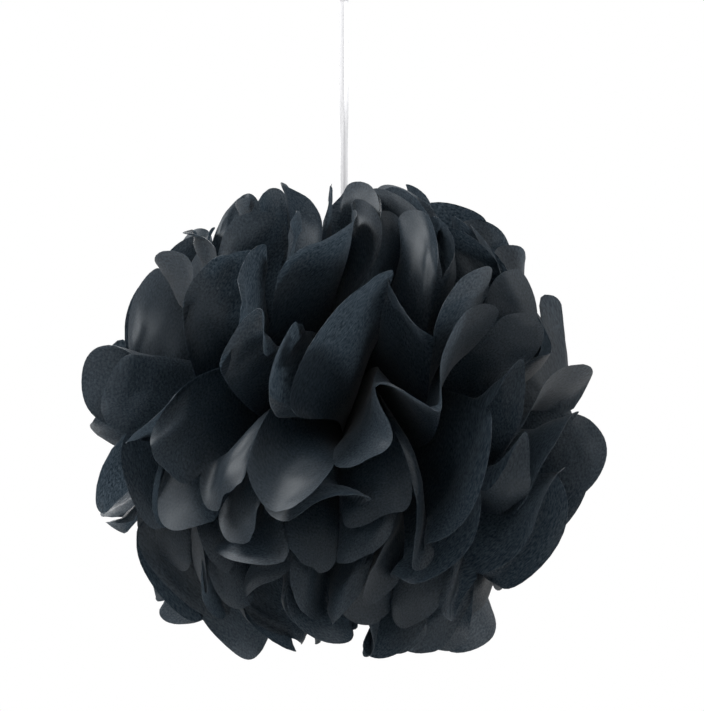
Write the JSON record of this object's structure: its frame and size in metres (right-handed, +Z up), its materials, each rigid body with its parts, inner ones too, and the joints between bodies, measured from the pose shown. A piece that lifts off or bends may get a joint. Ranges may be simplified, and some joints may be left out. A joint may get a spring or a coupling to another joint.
{
  "type": "tissue paper pom pom",
  "caption": "Hanging ball of pleated black tissue sheets with round-cut petals, cinched by a wire and hung on a flat white ribbon with a loop.",
  "frame": {"origin": "inside top of the ribbon's hanging loop, where a hook bears", "axes": "+Z up along the ribbon, -Y towards the viewer of the picture, +X to that viewer's right"},
  "size_m": [0.4147, 0.4063, 0.5792],
  "materials": {
    "black_tissue": "thin black tissue with a faint satin sheen, lighter where light comes through a single sheet",
    "white_ribbon": "white satin ribbon",
    "steel_wire": "bare craft wire"
  },
  "bodies": {
    "root": {"tissue_sheet_1": "black_tissue", "tissue_sheet_2": "black_tissue", "tissue_sheet_3": "black_tissue", "tissue_sheet_4": "black_tissue", "tissue_sheet_5": "black_tissue", "tissue_sheet_6": "black_tissue", "tissue_sheet_7": "black_tissue", "tissue_sheet_8": "black_tissue", "binding_wire": "steel_wire", "hanging_ribbon": "white_ribbon"}
  },
  "joints": []
}
